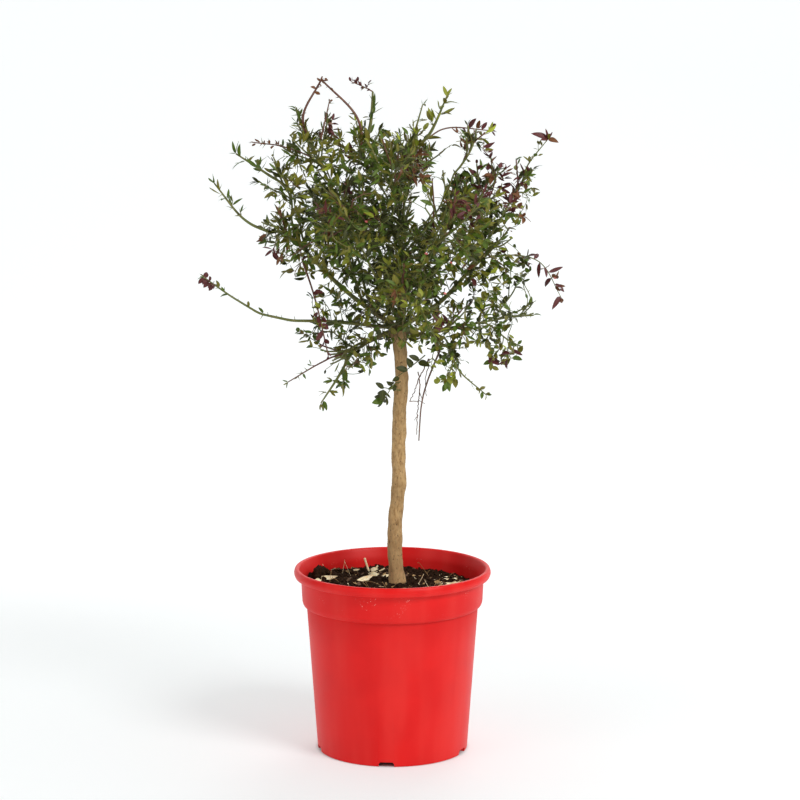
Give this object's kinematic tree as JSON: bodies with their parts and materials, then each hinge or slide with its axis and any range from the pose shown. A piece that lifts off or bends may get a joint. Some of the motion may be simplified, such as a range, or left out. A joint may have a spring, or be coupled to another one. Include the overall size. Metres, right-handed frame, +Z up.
{
  "type": "potted standard shrub",
  "caption": "Small evergreen shrub grown as a standard: a pale clear stem in a round red nursery pot, with a loose, open head of spiny green shoots that turn bronze and purple at the tips.",
  "frame": {"origin": "centre of the pot's flat underside", "axes": "+Z up the stem, -Y to the front, +X to the right as seen from the front"},
  "size_m": [0.3902, 0.3191, 0.743],
  "materials": {
    "pot_plastic": "satin moulded plastic",
    "compost": "rough damp peat and bark compost",
    "stem_bark": "smooth pale bark, dry",
    "green_bark": "young green bark, waxy",
    "red_bark": "young reddish bark, waxy",
    "dead_bark": "dry dead bark",
    "foliage": "waxy leaves"
  },
  "bodies": {
    "root": {"bough_back": "green_bark", "bough_front": "green_bark", "bough_heart": "green_bark", "bough_left": "green_bark", "bough_left_under": "green_bark", "bough_right": "green_bark", "bough_right_under": "green_bark", "compost": "compost", "mass_back_left": "foliage", "mass_back_low": "foliage", "mass_back_right": "foliage", "mass_back_upper": "foliage", "mass_far_right": "foliage", "mass_front_left": "foliage", "mass_front_low": "foliage", "mass_front_right": "foliage", "mass_front_upper": "foliage", "mass_heart": "foliage", "mass_heart_low": "foliage", "mass_left": "foliage", "mass_left_inner": "foliage", "mass_left_low": "foliage", "mass_left_under": "foliage", "mass_left_upper": "foliage", "mass_right": "foliage", "mass_right_inner": "foliage", "mass_right_low": "foliage", "mass_right_top": "foliage", "mass_right_under": "foliage", "mass_right_upper": "foliage", "mass_top_left": "foliage", "mass_top_middle": "foliage", "mass_top_right": "foliage", "pot": "pot_plastic", "shoot_arch_left": "red_bark", "shoot_arch_purple": "red_bark", "shoot_arch_right": "red_bark", "shoot_back_left": "green_bark", "shoot_back_low": "green_bark", "shoot_back_right": "green_bark", "shoot_back_top": "green_bark", "shoot_bottom_left": "green_bark", "shoot_bottom_right": "green_bark", "shoot_bottom_side": "red_bark", "shoot_dead_twig": "dead_bark", "shoot_far_right": "green_bark", "shoot_front_low": "green_bark", "shoot_front_right": "green_bark", "shoot_leader": "green_bark", "shoot_left_long": "green_bark", "shoot_left_upper": "green_bark", "shoot_purple_left": "red_bark", "shoot_right_drooping": "green_bark", "shoot_side_left": "red_bark", "shoot_stem_sprig": "green_bark", "shoot_stub_left": "green_bark", "shoot_top_right": "green_bark", "shoot_upper_left": "green_bark", "stem": "stem_bark"}
  },
  "joints": []
}
